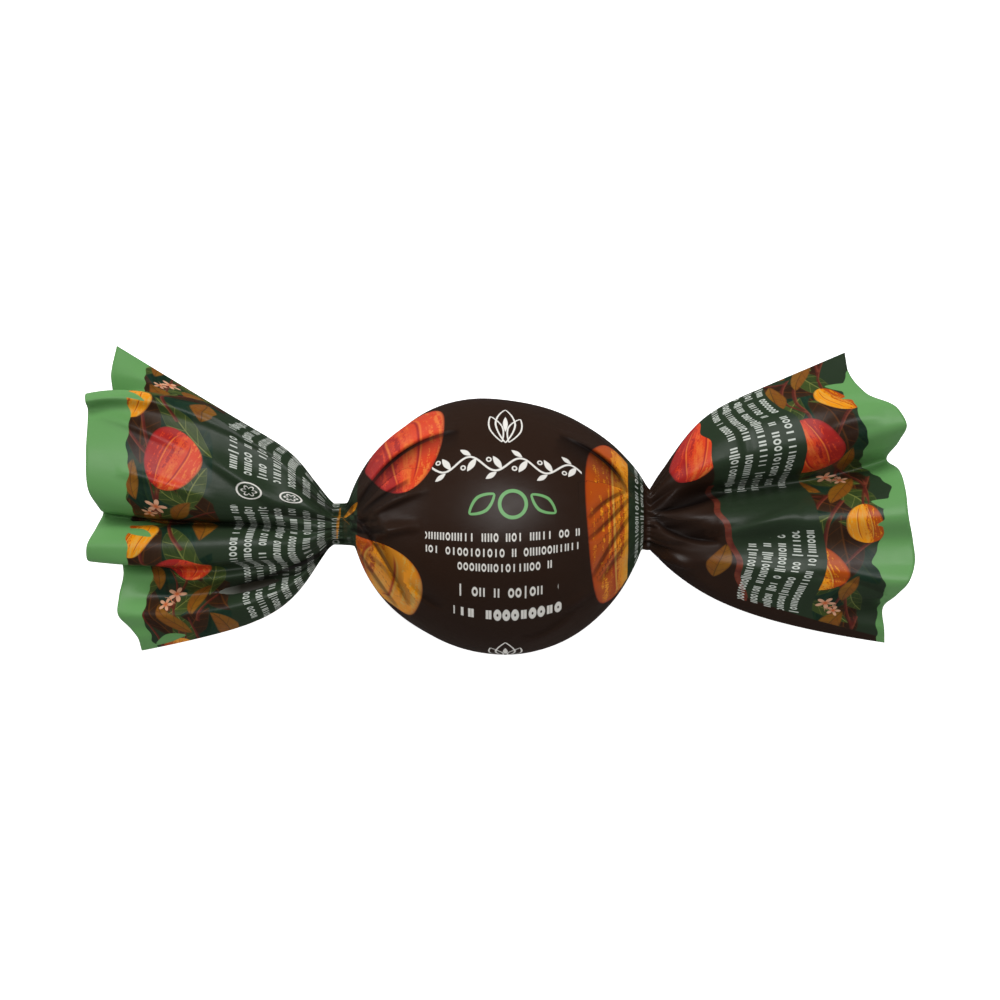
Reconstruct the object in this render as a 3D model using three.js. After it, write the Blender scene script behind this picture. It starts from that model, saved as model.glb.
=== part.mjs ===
// A chocolate truffle in a twist wrapper, lying with the printed front up.
// The wrapper is one tube of film: it hugs the truffle, is twisted shut on both sides of it, and
// opens into a pleated fan at each end. X runs along the sweet, Y across it, Z up from the table.
// The truffle is sealed from view, so body and twists are solid; the two fans are thin pouches
// that are open at their cut edge.
import * as THREE from 'three';

// Driving sizes, in millimetres.
const TWIST_HEIGHT = 13.3; // the twists' axis above the table
const FILM_WALL = 0.4; // wall of the fans
const CORNER_WALL = 0.05; // the same wall in the crease where front and back sheet meet
const GAP_SHARE = 0.2; // no wall takes up more than this share of the room between the sheets
const BEND_SHARE = 0.4; // nor, in a sharp fold, more than this share of the fold's radius

// How finely the film is divided: columns run along the sweet, rings run round it.
const FRONT_COLUMNS = 44; // more on the front, which has the folds
const BACK_COLUMNS = 26;
const COLUMNS = FRONT_COLUMNS + BACK_COLUMNS;
const BODY_RINGS = 14;
const FAN_RINGS = 9;
const RING_CROWDING = 1.3; // over 1 sets the fans' rings closer together near the twist
const POUCH_FLOOR_RING = 2; // the ring of a fan, counted from the twist, at which its hollow ends

// The wrapped truffle: a slightly lemon-shaped ball, a little flat where it lies.
// apex is the place of the largest height along X; left and right are the lengths to either twist.
const BODY = {
  left: -18.2, right: 17.0, middleY: -3.25,
  top: { apex: -1.9, left: 16.1, right: 20.1, high: 15.0, power: 1.91, root: 0.62 },
  low: { apex: 1.2, left: 18.2, right: 15.7, high: 14.75, power: 2.07, root: 0.56 },
  deep: { apex: -0.6, left: 17.7, right: 17.7, high: 13.7, power: 2.0, root: 0.5 },
  blend: 0.4, // rounding between ball and twist
};

// The gathers at the twists: uneven pleats round the film that lean with the twist.
const GATHER = {
  coarse: 9, fine: 13, finePhase: 2.2, fineShare: 0.4,
  depth: 0.09, // of the radius, at the twist
  bodyFade: 3.2, fanFade: 0.14, lean: 0.06,
};

// Each fan: its twist, how its upper and lower outline open, and the depth of its near end.
// An outline rises by slope, and by shoulder within the first few millimetres.
const LEFT = {
  sign: -1,
  twist: { x: -19.2, y: -2.9, high: 2.3, deep: 2.3 },
  top: { slope: 0.732, shoulder: 4.25, soft: 3.93, power: 1.82 },
  low: { slope: 0.325, shoulder: 8.85, soft: 4.62, power: 1.63 },
  belly: 2.4,
  backWaves: 2.5, backDepth: 3.4,
  // Fold lines of the front sheet, from the top corner down to the low corner:
  // reach, height and depth at the cut edge, then height and depth halfway along.
  folds: [
    ['top corner', 25.3, 20.8, -0.8, 20.8, -0.5],
    ['flap', 25.9, 17.5, -0.1, 20.7, 0.9],
    ['flap tucked in', 25.9, 14.4, -0.9, 20.5, 1.9],
    ['roll back', 27.6, 14.8, 0.9, 20.3, 2.8],
    ['roll top', 28.5, 15.1, 2.7, 19.9, 3.4],
    ['roll front', 28.4, 14.2, 3.8, 18.9, 3.7],
    ['roll valley', 28.3, 13.3, 2.8, 17.2, 3.6],
    ['high lobe top', 28.2, 11.9, 3.3, 14.4, 4.1],
    ['high lobe belly', 28.2, 8.1, 4.9, 8.2, 5.1],
    ['high lobe low', 27.9, 3.8, 4.6, 3.1, 4.6],
    ['high lobe under', 26.9, 1.9, 2.9, 1.0, 3.3],
    ['notch', 26.9, 1.2, -0.7, 0.1, -0.2],
    ['middle lobe top', 27.4, -0.4, 2.0, -0.8, 2.8],
    ['middle lobe belly', 28.3, -2.6, 3.6, -3.0, 4.3],
    ['middle lobe low', 28.3, -4.0, 2.9, -5.1, 4.0],
    ['middle lobe under', 26.7, -4.1, 0.6, -5.9, 2.4],
    ['low lobe tucked in', 24.9, -4.0, -1.0, -6.6, 1.9],
    ['low lobe top', 24.5, -5.3, -0.4, -7.6, 1.9],
    ['low lobe crease', 24.9, -8.4, 0.7, -9.8, 1.1],
    ['low lobe belly', 25.0, -10.3, 1.1, -11.5, 1.9],
    ['low lobe valley', 23.6, -12.1, -0.1, -13.1, 1.7],
    ['tail', 22.9, -13.0, -0.3, -14.0, 0.9],
    ['low corner', 22.5, -14.7, -1.7, -15.1, -0.6],
  ],
};
const RIGHT = {
  sign: 1,
  twist: { x: 17.4, y: -2.4, high: 3.4, deep: 2.6 },
  top: { slope: 0.289, shoulder: 3.29, soft: 1.89, power: 1.15 },
  low: { slope: 0.161, shoulder: 6.29, soft: 6.74, power: 1.0 },
  belly: 3.0,
  backWaves: 2.5, backDepth: 3.4,
  folds: [
    ['top corner', 22.7, 19.5, -0.6, 19.5, -0.5],
    ['flap', 23.0, 17.3, 0.4, 18.2, 1.3],
    ['high lobe rise', 24.8, 14.8, 2.0, 16.6, 2.7],
    ['high lobe crest', 28.4, 12.8, 4.1, 14.0, 4.2],
    ['high lobe tip', 29.3, 11.1, 4.5, 10.9, 4.4],
    ['high lobe low', 28.7, 9.2, 2.5, 7.9, 2.5],
    ['notch', 27.7, 7.0, -1.3, 5.2, -1.3],
    ['wide lobe top', 28.8, 5.9, 1.1, 3.7, 1.4],
    ['wide lobe high', 29.3, 3.5, 3.5, 2.0, 4.0],
    ['wide lobe ridge', 29.5, 0.7, 4.5, 0.1, 4.9],
    ['wide lobe dish', 30.2, -2.4, 3.1, -3.0, 3.8],
    ['wide lobe tip', 30.4, -4.7, 3.3, -5.3, 3.7],
    ['wide lobe low ridge', 29.6, -7.1, 4.0, -7.5, 4.0],
    ['wide lobe low', 28.4, -8.6, 2.4, -9.3, 3.0],
    ['low notch', 27.1, -10.6, -0.9, -11.9, 1.6],
    ['tail', 27.3, -12.5, -0.7, -13.2, 0.7],
    ['low corner', 27.5, -14.3, -2.1, -14.5, -0.6],
  ],
};
const FOLD_START = 0.45; // share of a fan's length up to which the halfway sizes hold
const FOLD_EASE = 2.0;
const DEPTH_GROWTH = 0.35; // how fast the folds deepen away from the twist
const FOLD_SPAN = 0.07; // the angle to either side over which a fold's radius is read
const GATHERED = 0.2; // share of a fan's length over which it is still a round gathered neck

const { PI, abs, cos, exp, hypot, max, min, pow, sin, sqrt } = Math;
const mix = (from, to, share) => from + (to - from) * share;
const smoothMax = (p, q, round) => 0.5 * (p + q + sqrt((p - q) ** 2 + round * round));
const step = (value, width) => 1 / (1 + exp(-value / width));

function smoothStep(share) {
  const s = min(max(share, 0), 1);
  return s * s * (3 - 2 * s);
}

// Half height of a fan's outline at a distance from its twist.
function outline(shape, start, distance) {
  const rise = 1 - exp(-pow(max(distance, 0) / shape.soft, shape.power));
  return start + shape.slope * distance + shape.shoulder * rise;
}

// A smooth curve through the values, one at each knot.
function curveThrough(knots, values) {
  const gaps = knots.slice(1).map((knot, i) => knot - knots[i]);
  const slopes = gaps.map((gap, i) => (values[i + 1] - values[i]) / gap);
  const last = slopes.length - 1;
  const tangents = knots.map((_, i) => {
    if (i === 0) return slopes[0];
    if (i > last) return slopes[last];
    return (slopes[i] * gaps[i - 1] + slopes[i - 1] * gaps[i]) / (gaps[i] + gaps[i - 1]);
  });
  return (place) => {
    let i = 0;
    while (i < last && place >= knots[i + 1]) i += 1;
    const t = (place - knots[i]) / gaps[i];
    const start = (1 + 2 * t) * (1 - t) ** 2 * values[i] + t * (1 - t) ** 2 * gaps[i] * tangents[i];
    const end = t * t * (3 - 2 * t) * values[i + 1] + t * t * (t - 1) * gaps[i] * tangents[i + 1];
    return start + end;
  };
}

// The front sheet's curves, by the share of the cut edge's length from the top corner.
function frontCurves(fan) {
  const sizes = fan.folds.map(([, ...numbers]) => numbers);
  const knots = [0];
  for (let i = 1; i < sizes.length; i += 1) {
    const [reach, high, deep] = sizes[i].map((size, k) => size - sizes[i - 1][k]);
    knots.push(knots[i - 1] + hypot(reach, high, deep));
  }
  const length = knots[knots.length - 1];
  const shares = knots.map((knot) => knot / length);
  const [reach, edgeHigh, edgeDeep, midHigh, midDeep] = [0, 1, 2, 3, 4].map((column) => (
    curveThrough(shares, sizes.map((row) => row[column]))));
  return { reach, edgeHigh, edgeDeep, midHigh, midDeep };
}

const gatherPleat = (angle) => (
  (1 - GATHER.fineShare) * cos(GATHER.coarse * angle)
  + GATHER.fineShare * cos(GATHER.fine * angle + GATHER.finePhase));

// A point of a fan: angle 0 is the top corner, PI the low corner, and the front lies between them;
// share is 0 at the twist and 1 at the cut edge.
function fanPoint(fan, curves, angle, share) {
  const opened = pow(max(share - FOLD_START, 0) / (1 - FOLD_START), FOLD_EASE);
  const at = (edge, mid, place) => mix(mid(place), edge(place), opened);
  let reach = 0;
  let high = 0;
  let deep = 0;
  if (angle <= PI) {
    const place = angle / PI;
    reach = curves.reach(place);
    high = at(curves.edgeHigh, curves.midHigh, place);
    deep = at(curves.edgeDeep, curves.midDeep, place);
  } else {
    // The back sheet is plainer: a few broad waves between the same two corners.
    const place = angle / PI - 1;
    const eased = place + 0.06 * sin(2 * PI * place);
    const wave = 1 - 0.32 * cos(2 * PI * fan.backWaves * place);
    reach = mix(curves.reach(1), curves.reach(0), eased) - 1.2 * sin(PI * place) * cos(5 * PI * place);
    high = mix(at(curves.edgeHigh, curves.midHigh, 1), at(curves.edgeHigh, curves.midHigh, 0), eased);
    deep = mix(at(curves.edgeDeep, curves.midDeep, 1), at(curves.edgeDeep, curves.midDeep, 0), place);
    deep -= fan.backDepth * (0.72 + 0.28 * opened) * pow(max(sin(PI * place), 0), 0.8) * wave;
  }
  const { twist } = fan;
  const topEnd = curves.reach(0);
  const lowEnd = curves.reach(1);
  const top = outline(fan.top, twist.high, topEnd * share);
  const low = outline(fan.low, twist.high, lowEnd * share);
  const upper = step(high, 1);
  const growth = upper * top / outline(fan.top, twist.high, topEnd)
    + (1 - upper) * low / outline(fan.low, twist.high, lowEnd);
  const round = exp(-((share / GATHERED) ** 2));
  const upperSide = step(cos(angle), 0.08);
  const pleat = 1 + GATHER.depth * exp(-share / GATHER.fanFade)
    * gatherPleat(angle + GATHER.lean * reach * share);
  const roundHigh = cos(angle) * (top * upperSide + low * (1 - upperSide)) * pleat;
  const roundDeep = sin(angle) * (twist.deep + fan.belly * (1 - exp(-share / 0.12))) * pleat;
  return new THREE.Vector3(
    twist.x + fan.sign * reach * share,
    twist.y + mix(high * growth, roundHigh, round),
    TWIST_HEIGHT + mix(deep * pow(share, DEPTH_GROWTH), roundDeep, round),
  );
}

// Half size of the ball at a place along X.
function bulge(shape, x) {
  const far = abs(x - shape.apex) / (x < shape.apex ? shape.left : shape.right);
  return shape.high * pow(max(1 - pow(far, shape.power), 0), shape.root);
}

// A point of the film over the truffle.
function bodyPoint(angle, x) {
  const share = (x - BODY.left) / (BODY.right - BODY.left);
  const twistHigh = mix(LEFT.twist.high, RIGHT.twist.high, share);
  const twistDeep = mix(LEFT.twist.deep, RIGHT.twist.deep, share);
  const middle = share < 0.5
    ? mix(LEFT.twist.y, BODY.middleY, smoothStep(2 * share))
    : mix(BODY.middleY, RIGHT.twist.y, smoothStep(2 * share - 1));
  const upperSide = step(cos(angle), 0.08);
  const top = smoothMax(bulge(BODY.top, x), twistHigh, BODY.blend);
  const low = smoothMax(bulge(BODY.low, x), twistHigh, BODY.blend);
  const high = top * upperSide + low * (1 - upperSide);
  const deep = smoothMax(bulge(BODY.deep, x), twistDeep, BODY.blend);
  const away = min(x - BODY.left, BODY.right - x);
  const lean = (share < 0.5 ? -1 : 1) * GATHER.lean * away;
  const pleat = 1 + GATHER.depth * exp(-away / GATHER.bodyFade) * gatherPleat(angle + lean);
  return new THREE.Vector3(
    x,
    middle + cos(angle) * high * pleat,
    max(TWIST_HEIGHT + sin(angle) * deep * pleat, 0),
  );
}

const ringShare = (ringIndex) => pow(ringIndex / FAN_RINGS, RING_CROWDING);
const angles = Array.from({ length: COLUMNS }, (_, i) => (
  i < FRONT_COLUMNS ? (PI * i) / FRONT_COLUMNS : PI + (PI * (i - FRONT_COLUMNS)) / BACK_COLUMNS));
const ring = (pointAt) => angles.map(pointAt);

// The rings of a fan's outside, from the twist out to the cut edge.
function fanOutside(fan, curves) {
  return Array.from({ length: FAN_RINGS + 1 }, (_, i) => (
    ring((angle) => fanPoint(fan, curves, angle, ringShare(i)))));
}

// The radius of the circle through three points of a fold.
function foldRadius(before, crest, after) {
  const first = crest.distanceTo(before);
  const second = crest.distanceTo(after);
  const twiceArea = crest.clone().sub(before).cross(after.clone().sub(crest)).length();
  return (first * second * before.distanceTo(after)) / (2 * max(twiceArea, 1e-9));
}

// The rings of a fan's inside, from the cut edge in to the pouch's floor.
function fanInside(fan, curves) {
  const nudge = 0.002;
  return Array.from({ length: FAN_RINGS - POUCH_FLOOR_RING + 1 }, (_, i) => {
    const share = ringShare(FAN_RINGS - i);
    return ring((angle) => {
      const point = fanPoint(fan, curves, angle, share);
      const opposite = fanPoint(fan, curves, (2 * PI - angle) % (2 * PI), share);
      const room = point.distanceTo(opposite);
      const beside = (turn) => fanPoint(fan, curves, (angle + turn + 2 * PI) % (2 * PI), share);
      const ahead = beside(nudge).sub(point).normalize();
      const back = beside(-nudge).sub(point).normalize();
      const along = fanPoint(fan, curves, angle, share - nudge).sub(point);
      const inward = along.cross(ahead.sub(back)).multiplyScalar(-fan.sign).normalize();
      const bend = foldRadius(beside(-FOLD_SPAN), point, beside(FOLD_SPAN));
      const wall = max(min(FILM_WALL, GAP_SHARE * room, BEND_SHARE * bend), CORNER_WALL);
      return point.addScaledVector(inward, wall);
    });
  });
}

function bodyRings() {
  return Array.from({ length: BODY_RINGS + 1 }, (_, i) => {
    const x = mix(BODY.left, BODY.right, 0.5 - 0.5 * cos((PI * i) / BODY_RINGS));
    return ring((angle) => bodyPoint(angle, x));
  });
}

function middleOf(points) {
  return points.reduce((sum, point) => sum.add(point), new THREE.Vector3()).divideScalar(points.length);
}

// One closed skin over all rings, in order along the film, with a floor in each pouch.
function skin(rings) {
  const floors = [middleOf(rings[0]), middleOf(rings[rings.length - 1])];
  const points = [...rings.flat(), ...floors];
  const place = new Float32Array(points.flatMap((point) => point.toArray()));
  const faces = [];
  // Inside a fan the diagonals run the other way, so that each lies right behind the outside's.
  const insideRings = FAN_RINGS - POUCH_FLOOR_RING;
  for (let r = 0; r < rings.length - 1; r += 1) {
    const inside = r < insideRings || r >= rings.length - 1 - insideRings;
    for (let c = 0; c < COLUMNS; c += 1) {
      const next = (c + 1) % COLUMNS;
      const [a, b] = [r * COLUMNS + c, r * COLUMNS + next];
      const [d, e] = [a + COLUMNS, b + COLUMNS];
      faces.push(...(inside ? [a, b, d, b, e, d] : [a, b, e, a, e, d]));
    }
  }
  const lastRing = (rings.length - 1) * COLUMNS;
  const firstFloor = points.length - 2;
  for (let c = 0; c < COLUMNS; c += 1) {
    const next = (c + 1) % COLUMNS;
    faces.push(firstFloor, next, c);
    faces.push(firstFloor + 1, lastRing + c, lastRing + next);
  }
  const geometry = new THREE.BufferGeometry();
  geometry.setAttribute('position', new THREE.BufferAttribute(place, 3));
  geometry.setIndex(faces);
  return geometry;
}

function wrappedTruffle() {
  const leftCurves = frontCurves(LEFT);
  const rightCurves = frontCurves(RIGHT);
  const geometry = skin([
    ...fanInside(LEFT, leftCurves).reverse(),
    ...fanOutside(LEFT, leftCurves).reverse(),
    ...bodyRings(),
    ...fanOutside(RIGHT, rightCurves),
    ...fanInside(RIGHT, rightCurves),
  ]);
  // The origin is the middle of the sweet's own box, on the table.
  geometry.computeBoundingBox();
  const middle = geometry.boundingBox.getCenter(new THREE.Vector3());
  geometry.translate(-middle.x, -middle.y, 0);
  geometry.computeVertexNormals();
  const film = new THREE.MeshStandardMaterial({ color: 0x2f1d17, roughness: 0.35, metalness: 0 });
  const mesh = new THREE.Mesh(geometry, film);
  mesh.name = 'wrapped_truffle';
  return mesh;
}

const sweet = new THREE.Group();
sweet.add(wrappedTruffle());

export default sweet;
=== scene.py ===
"""Looks of a chocolate truffle in its twist wrapper, lying with the printed front up."""
from functools import partial

import bpy
import numpy as np
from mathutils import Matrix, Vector


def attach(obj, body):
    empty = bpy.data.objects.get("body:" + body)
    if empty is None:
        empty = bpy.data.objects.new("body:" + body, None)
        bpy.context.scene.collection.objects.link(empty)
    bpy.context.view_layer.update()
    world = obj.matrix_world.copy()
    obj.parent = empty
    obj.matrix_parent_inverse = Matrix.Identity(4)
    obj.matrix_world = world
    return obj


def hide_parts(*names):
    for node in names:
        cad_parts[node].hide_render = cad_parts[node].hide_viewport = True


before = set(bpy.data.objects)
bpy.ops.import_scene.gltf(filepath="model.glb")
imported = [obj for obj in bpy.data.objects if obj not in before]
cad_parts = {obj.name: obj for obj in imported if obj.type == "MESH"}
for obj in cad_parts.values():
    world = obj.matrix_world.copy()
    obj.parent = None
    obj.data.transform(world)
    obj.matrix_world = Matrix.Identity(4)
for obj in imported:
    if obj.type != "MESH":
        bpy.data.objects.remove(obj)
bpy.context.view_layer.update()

# ==============================================================================
# The wrapper. One tube of thin satin film, printed on its outer face: it hugs the truffle, is
# twisted shut on both sides of it by a machine, and opens into a pleated fan at each end, where
# its cut edge shows. The truffle itself stays hidden, so the film is all that is seen.
# ==============================================================================

# ---- The film's shape, in millimetres. Angle 0 is the top edge seen from above, PI / 2 the middle
# of the printed front, PI the lower edge; the back lies between PI and 2 PI.
MM = 0.001
PI = np.pi
TWIST_HEIGHT = 13.3
FILM_WALL = 0.07

BODY_LEFT, BODY_RIGHT, BODY_MIDDLE_Y = -18.2, 17.0, -3.25
BODY_BLEND = 0.4
BODY_TOP = dict(apex=-1.9, left=16.1, right=20.1, high=15.0, power=1.91, root=0.62)
BODY_LOW = dict(apex=1.2, left=18.2, right=15.7, high=14.75, power=2.07, root=0.56)
BODY_DEEP = dict(apex=-0.6, left=17.7, right=17.7, high=13.7, power=2.0, root=0.5)

# Fold lines of a fan's front sheet, from the top corner down to the low corner:
# reach, height and depth at the cut edge, then height and depth halfway along.
LEFT_FOLDS = {
    "top corner": (25.3, 20.8, -0.8, 20.8, -0.5),
    "flap": (25.9, 17.5, -0.1, 20.7, 0.9),
    "flap tucked in": (25.9, 14.4, -0.9, 20.5, 1.9),
    "roll back": (27.6, 14.8, 0.9, 20.3, 2.8),
    "roll top": (28.5, 15.1, 2.7, 19.9, 3.4),
    "roll front": (28.4, 14.2, 3.9, 18.9, 3.7),
    "roll valley": (28.3, 13.3, 2.3, 17.2, 3.6),
    "high lobe top": (28.2, 11.9, 3.3, 14.4, 4.1),
    "high lobe belly": (28.2, 8.1, 4.9, 8.2, 5.1),
    "high lobe low": (27.9, 3.8, 4.6, 3.1, 4.6),
    "high lobe under": (26.9, 1.9, 2.9, 1.0, 3.3),
    "notch": (26.9, 1.2, -0.7, 0.1, -0.2),
    "middle lobe top": (27.4, -0.4, 2.0, -0.8, 2.8),
    "middle lobe belly": (28.3, -2.6, 3.6, -3.0, 4.3),
    "middle lobe low": (28.3, -4.0, 2.9, -5.1, 4.0),
    "middle lobe under": (26.7, -4.1, 0.6, -5.9, 2.4),
    "low lobe tucked in": (24.9, -4.0, -1.0, -6.6, 1.4),
    "low lobe top": (24.5, -5.3, -0.4, -7.6, 1.9),
    "low lobe crease": (24.9, -8.4, 0.7, -9.8, -0.3),
    "low lobe belly": (25.0, -10.3, 1.1, -11.5, 1.9),
    "low lobe valley": (23.6, -12.1, -0.1, -13.1, 1.7),
    "tail": (22.9, -13.0, -0.3, -14.0, 0.9),
    "low corner": (22.5, -14.7, -1.7, -15.1, -0.6),
}
RIGHT_FOLDS = {
    "top corner": (22.7, 19.5, -0.6, 19.5, -0.5),
    "flap": (23.0, 17.3, 0.4, 18.2, 1.3),
    "high lobe rise": (24.8, 14.8, 2.0, 16.6, 2.7),
    "high lobe crest": (28.4, 12.8, 4.1, 14.0, 4.2),
    "high lobe tip": (29.3, 11.1, 4.5, 10.9, 4.4),
    "high lobe low": (28.7, 9.2, 2.5, 7.9, 2.5),
    "notch": (27.7, 7.0, -1.3, 5.2, -1.3),
    "wide lobe top": (28.8, 5.9, 1.1, 3.7, 1.4),
    "wide lobe high": (29.3, 3.5, 3.5, 2.0, 4.0),
    "wide lobe ridge": (29.5, 0.7, 4.5, 0.1, 4.9),
    "wide lobe dish": (30.2, -2.4, 3.1, -3.0, 3.8),
    "wide lobe tip": (30.4, -4.7, 3.3, -5.3, 3.7),
    "wide lobe low ridge": (29.6, -7.1, 4.0, -7.5, 4.0),
    "wide lobe low": (28.4, -8.6, 2.4, -9.3, 3.0),
    "low notch": (27.1, -10.6, -0.9, -11.9, 1.6),
    "tail": (27.3, -12.5, -0.7, -13.2, 0.7),
    "low corner": (27.5, -14.3, -2.1, -14.5, -0.6),
}
LEFT_FAN = dict(
    sign=-1, x=-19.2, y=-2.9, high=2.3, deep=2.3, belly=2.4, folds=LEFT_FOLDS,
    top=dict(slope=0.732, shoulder=4.25, soft=3.93, power=1.82),
    low=dict(slope=0.325, shoulder=8.85, soft=4.62, power=1.63),
)
RIGHT_FAN = dict(
    sign=1, x=17.4, y=-2.4, high=3.4, deep=2.6, belly=3.0, folds=RIGHT_FOLDS,
    top=dict(slope=0.289, shoulder=3.29, soft=1.89, power=1.15),
    low=dict(slope=0.161, shoulder=6.29, soft=6.74, power=1.0),
)
FAN_FILM = 28.0  # film between a twist and its cut edge
FOLD_START, FOLD_EASE, DEPTH_GROWTH, GATHERED, BELLY_GROWTH = 0.45, 2.0, 0.35, 0.2, 0.12
TOP_TO_LOW = 0.08  # how softly the top outline gives way to the low one
# The back sheet: its broad waves and their depth, and the uneven line of its cut edge.
BACK_WAVES, BACK_DEPTH, BACK_WAVE_SHARE, BACK_CLOSED_DEPTH = 2.5, 3.4, 0.32, 0.72
BACK_SHIFT, BACK_EDGE_WAVES, BACK_EDGE_WAVE = 0.06, 5, 1.2

# The gathers at the twists: a coarse and a fine pleat, how far they reach over the truffle, in
# millimetres, and over the fan, as a share of it.
GATHER_COARSE, GATHER_FINE, GATHER_PHASE, GATHER_FINE_SHARE = 9, 13, 2.2, 0.4
GATHER_DEPTH, GATHER_BODY_FADE, GATHER_FAN_FADE, GATHER_LEAN = 0.11, 3.2, 0.14, 0.06


def mix(start, end, share):
    return start + (end - start) * share


def smooth(share):
    s = np.clip(share, 0, 1)
    return s * s * (3 - 2 * s)


def smooth_max(p, q, rounding):
    return 0.5 * (p + q + np.sqrt((p - q) ** 2 + rounding * rounding))


def side_step(value, width):
    return 1 / (1 + np.exp(-value / width))


def outline(shape, start, distance):
    rise = 1 - np.exp(-np.power(distance / shape["soft"], shape["power"]))
    return start + shape["slope"] * distance + shape["shoulder"] * rise


def curve_through(knots, values, place):
    """A smooth curve through the values at the knots, read at each place."""
    gaps = np.diff(knots)
    slopes = np.diff(values) / gaps
    tangents = np.concatenate([slopes[:1], np.zeros(len(values) - 2), slopes[-1:]])
    tangents[1:-1] = (slopes[1:] * gaps[:-1] + slopes[:-1] * gaps[1:]) / (gaps[1:] + gaps[:-1])
    i = np.clip(np.searchsorted(knots, place, side="right") - 1, 0, len(gaps) - 1)
    t = (place - knots[i]) / gaps[i]
    start = (1 + 2 * t) * (1 - t) ** 2 * values[i] + t * (1 - t) ** 2 * gaps[i] * tangents[i]
    end = t * t * (3 - 2 * t) * values[i + 1] + t * t * (t - 1) * gaps[i] * tangents[i + 1]
    return start + end


def front_length(fan):
    sizes = np.array(list(fan["folds"].values()))
    return np.linalg.norm(np.diff(sizes[:, :3], axis=0), axis=1).sum()


def gather_pleat(angle):
    coarse = (1 - GATHER_FINE_SHARE) * np.cos(GATHER_COARSE * angle)
    return coarse + GATHER_FINE_SHARE * np.cos(GATHER_FINE * angle + GATHER_PHASE)


def fan_points(fan, angle, share):
    """Places of a fan's outer face; share is 0 at the twist and 1 at the cut edge."""
    sizes = np.array(list(fan["folds"].values()))
    steps = np.linalg.norm(np.diff(sizes[:, :3], axis=0), axis=1)
    knots = np.concatenate([[0], np.cumsum(steps)]) / steps.sum()
    opened = np.power(np.maximum(share - FOLD_START, 0) / (1 - FOLD_START), FOLD_EASE)
    front = np.clip(angle / PI, 0, 1)
    back = np.clip(angle / PI - 1, 0, 1)
    reach, edge_high, edge_deep, mid_high, mid_deep = (
        curve_through(knots, column, front) for column in sizes.T)
    high = mix(mid_high, edge_high, opened)
    deep = mix(mid_deep, edge_deep, opened)
    # The back sheet is plainer: a few broad waves between the same two corners.
    first, last = sizes[0], sizes[-1]
    eased = back + BACK_SHIFT * np.sin(2 * PI * back)
    edge_wave = BACK_EDGE_WAVE * np.sin(PI * back) * np.cos(BACK_EDGE_WAVES * PI * back)
    back_reach = mix(last[0], first[0], eased) - edge_wave
    back_high = mix(mix(last[3], last[1], opened), mix(first[3], first[1], opened), eased)
    back_deep = mix(mix(last[4], last[2], opened), mix(first[4], first[2], opened), back)
    wave = 1 - BACK_WAVE_SHARE * np.cos(2 * PI * BACK_WAVES * back)
    swell = np.power(np.maximum(np.sin(PI * back), 0), 0.8)
    back_deep = back_deep - BACK_DEPTH * mix(BACK_CLOSED_DEPTH, 1, opened) * swell * wave
    behind = angle > PI
    reach = np.where(behind, back_reach, reach)
    high = np.where(behind, back_high, high)
    deep = np.where(behind, back_deep, deep)

    top = outline(fan["top"], fan["high"], first[0] * share)
    low = outline(fan["low"], fan["high"], last[0] * share)
    upper = side_step(high, 1)
    growth = upper * top / outline(fan["top"], fan["high"], first[0])
    growth = growth + (1 - upper) * low / outline(fan["low"], fan["high"], last[0])
    near = np.exp(-((share / GATHERED) ** 2))
    upper_side = side_step(np.cos(angle), TOP_TO_LOW)
    fade = GATHER_DEPTH * np.exp(-share / GATHER_FAN_FADE)
    pleat = 1 + fade * gather_pleat(angle + GATHER_LEAN * reach * share)
    round_high = np.cos(angle) * (top * upper_side + low * (1 - upper_side)) * pleat
    belly = fan["belly"] * (1 - np.exp(-share / BELLY_GROWTH))
    round_deep = np.sin(angle) * (fan["deep"] + belly) * pleat
    return np.stack([
        fan["x"] + fan["sign"] * reach * share,
        fan["y"] + mix(high * growth, round_high, near),
        TWIST_HEIGHT + mix(deep * np.power(share, DEPTH_GROWTH), round_deep, near),
    ], axis=-1)


def bulge(shape, x):
    far = np.abs(x - shape["apex"]) / np.where(x < shape["apex"], shape["left"], shape["right"])
    return shape["high"] * np.power(np.maximum(1 - np.power(far, shape["power"]), 0), shape["root"])


def body_points(angle, x):
    """Places of the film over the truffle."""
    share = (x - BODY_LEFT) / (BODY_RIGHT - BODY_LEFT)
    twist_high = mix(LEFT_FAN["high"], RIGHT_FAN["high"], share)
    twist_deep = mix(LEFT_FAN["deep"], RIGHT_FAN["deep"], share)
    middle = np.where(
        share < 0.5,
        mix(LEFT_FAN["y"], BODY_MIDDLE_Y, smooth(2 * share)),
        mix(BODY_MIDDLE_Y, RIGHT_FAN["y"], smooth(2 * share - 1)))
    upper_side = side_step(np.cos(angle), TOP_TO_LOW)
    top = smooth_max(bulge(BODY_TOP, x), twist_high, BODY_BLEND)
    low = smooth_max(bulge(BODY_LOW, x), twist_high, BODY_BLEND)
    high = top * upper_side + low * (1 - upper_side)
    deep = smooth_max(bulge(BODY_DEEP, x), twist_deep, BODY_BLEND)
    away = np.minimum(x - BODY_LEFT, BODY_RIGHT - x)
    lean = np.where(share < 0.5, -1, 1) * GATHER_LEAN * away
    pleat = 1 + GATHER_DEPTH * np.exp(-away / GATHER_BODY_FADE) * gather_pleat(angle + lean)
    y = middle + np.cos(angle) * high * pleat
    z = np.maximum(TWIST_HEIGHT + np.sin(angle) * deep * pleat, 0)
    return np.stack([x + 0 * y, y, z], axis=-1)


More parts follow.
